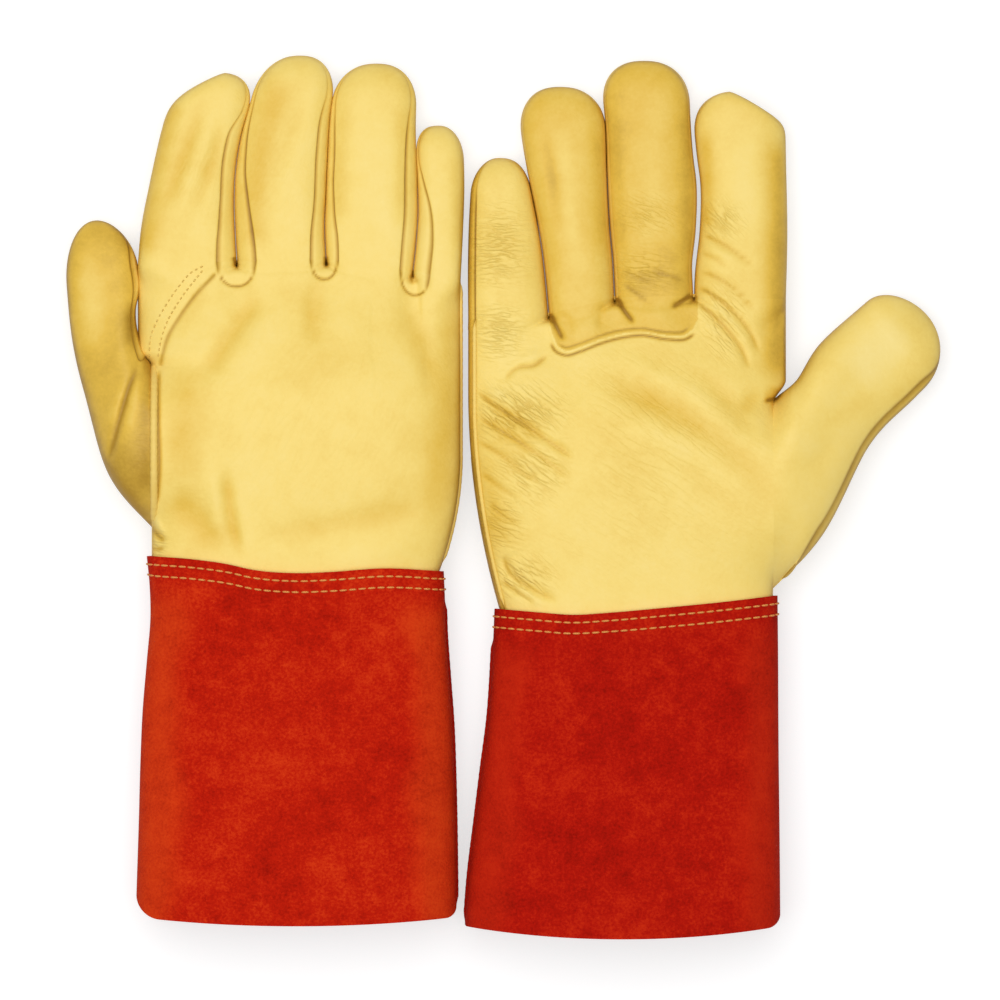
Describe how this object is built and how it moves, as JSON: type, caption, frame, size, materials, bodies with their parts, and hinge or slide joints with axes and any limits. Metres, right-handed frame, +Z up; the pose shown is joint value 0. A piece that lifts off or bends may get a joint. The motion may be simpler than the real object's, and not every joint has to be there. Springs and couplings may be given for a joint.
{
  "type": "welding gloves",
  "caption": "Pair of gauntlet welding gloves lying flat, palm down beside palm up: sewn smooth leather hands on red suede cuffs, with fingers and thumbs that bend at their roots.",
  "frame": {"origin": "on the table, under the middle of the pair's plan", "axes": "+Z up from the table, +Y from the cuffs to the fingertips, +X from the palm-down glove to the palm-up glove"},
  "size_m": [0.3532, 0.3524, 0.0443],
  "materials": {
    "grain_leather": "smooth grain, satin",
    "gusset_leather": "smooth grain, satin",
    "welt": "smooth grain, satin",
    "split_leather": "suede nap, matt",
    "cuff_welt": "suede nap, matt",
    "thread": "twisted sewing thread"
  },
  "bodies": {
    "glove1_hand": {"glove1_palm_panel": "grain_leather", "glove1_back_panel": "grain_leather", "glove1_side_welt": "welt", "glove1_thumb_welt": "welt", "glove1_index_middle_web": "gusset_leather", "glove1_middle_ring_web": "gusset_leather", "glove1_ring_little_web": "gusset_leather", "glove1_index_seam_stitch_upper": "thread", "glove1_index_seam_stitch_lower": "thread", "glove1_cuff": "split_leather", "glove1_cuff_welt": "cuff_welt", "glove1_cuff_stitch_upper": "thread", "glove1_cuff_stitch_lower": "thread"},
    "glove1_index": {"glove1_index_wrap": "grain_leather", "glove1_index_little_side_wall": "gusset_leather"},
    "glove1_middle": {"glove1_middle_front": "grain_leather", "glove1_middle_back": "grain_leather", "glove1_middle_thumb_side_wall": "gusset_leather", "glove1_middle_little_side_wall": "gusset_leather"},
    "glove1_ring": {"glove1_ring_front": "grain_leather", "glove1_ring_back": "grain_leather", "glove1_ring_thumb_side_wall": "gusset_leather", "glove1_ring_little_side_wall": "gusset_leather"},
    "glove1_little": {"glove1_little_front": "grain_leather", "glove1_little_back": "grain_leather", "glove1_little_thumb_side_wall": "gusset_leather"},
    "glove1_thumb": {"glove1_thumb_front": "grain_leather", "glove1_thumb_back": "grain_leather"},
    "glove2_hand": {"glove2_palm_panel": "grain_leather", "glove2_back_panel": "grain_leather", "glove2_side_welt": "welt", "glove2_thumb_welt": "welt", "glove2_index_middle_web": "gusset_leather", "glove2_middle_ring_web": "gusset_leather", "glove2_ring_little_web": "gusset_leather", "glove2_index_seam_stitch_upper": "thread", "glove2_index_seam_stitch_lower": "thread", "glove2_cuff": "split_leather", "glove2_cuff_welt": "cuff_welt", "glove2_cuff_stitch_upper": "thread", "glove2_cuff_stitch_lower": "thread"},
    "glove2_index": {"glove2_index_wrap": "grain_leather", "glove2_index_little_side_wall": "gusset_leather"},
    "glove2_middle": {"glove2_middle_front": "grain_leather", "glove2_middle_back": "grain_leather", "glove2_middle_thumb_side_wall": "gusset_leather", "glove2_middle_little_side_wall": "gusset_leather"},
    "glove2_ring": {"glove2_ring_front": "grain_leather", "glove2_ring_back": "grain_leather", "glove2_ring_thumb_side_wall": "gusset_leather", "glove2_ring_little_side_wall": "gusset_leather"},
    "glove2_little": {"glove2_little_front": "grain_leather", "glove2_little_back": "grain_leather", "glove2_little_thumb_side_wall": "gusset_leather"},
    "glove2_thumb": {"glove2_thumb_front": "grain_leather", "glove2_thumb_back": "grain_leather"}
  },
  "joints": [
    {"name": "glove1_index_knuckle", "type": "hinge", "parent": "glove1_hand", "child": "glove1_index", "pos_m": [-0.12721, 0.09318, 0.0017], "axis": [-0.9987, 0.0501, 0], "range_deg": [0, 80]},
    {"name": "glove1_middle_knuckle", "type": "hinge", "parent": "glove1_hand", "child": "glove1_middle", "pos_m": [-0.08962, 0.09418, 0.0017], "axis": [-0.9987, 0.0501, 0], "range_deg": [0, 80]},
    {"name": "glove1_ring_knuckle", "type": "hinge", "parent": "glove1_hand", "child": "glove1_ring", "pos_m": [-0.05446, 0.09218, 0.0017], "axis": [-0.9987, 0.0501, 0], "range_deg": [0, 80]},
    {"name": "glove1_little_knuckle", "type": "hinge", "parent": "glove1_hand", "child": "glove1_little", "pos_m": [-0.02762, 0.08818, 0.0017], "axis": [-0.9987, 0.0501, 0], "range_deg": [0, 80]},
    {"name": "glove1_thumb_root", "type": "hinge", "parent": "glove1_hand", "child": "glove1_thumb", "pos_m": [-0.14142, 0.01878, 0.00094], "axis": [0, -1, 0], "range_deg": [0, 60]},
    {"name": "glove2_lift", "type": "slide", "parent": "glove1_hand", "child": "glove2_hand", "axis": [0, 0, 1], "range_m": [0, 0.3]},
    {"name": "glove2_index_knuckle", "type": "hinge", "parent": "glove2_hand", "child": "glove2_index", "pos_m": [0.09338, 0.07943, 0.025], "axis": [0.9974, 0.0718, 0], "range_deg": [0, 80]},
    {"name": "glove2_middle_knuckle", "type": "hinge", "parent": "glove2_hand", "child": "glove2_middle", "pos_m": [0.05919, 0.07978, 0.025], "axis": [0.9974, 0.0718, 0], "range_deg": [0, 80]},
    {"name": "glove2_ring_knuckle", "type": "hinge", "parent": "glove2_hand", "child": "glove2_ring", "pos_m": [0.03019, 0.07603, 0.025], "axis": [0.9974, 0.0718, 0], "range_deg": [0, 80]},
    {"name": "glove2_little_knuckle", "type": "hinge", "parent": "glove2_hand", "child": "glove2_little", "pos_m": [0.00093, 0.07168, 0.025], "axis": [0.9974, 0.0718, 0], "range_deg": [0, 80]},
    {"name": "glove2_thumb_root", "type": "hinge", "parent": "glove2_hand", "child": "glove2_thumb", "pos_m": [0.10658, 0.00128, 0.03746], "axis": [0, -1, 0], "range_deg": [0, 60]}
  ]
}
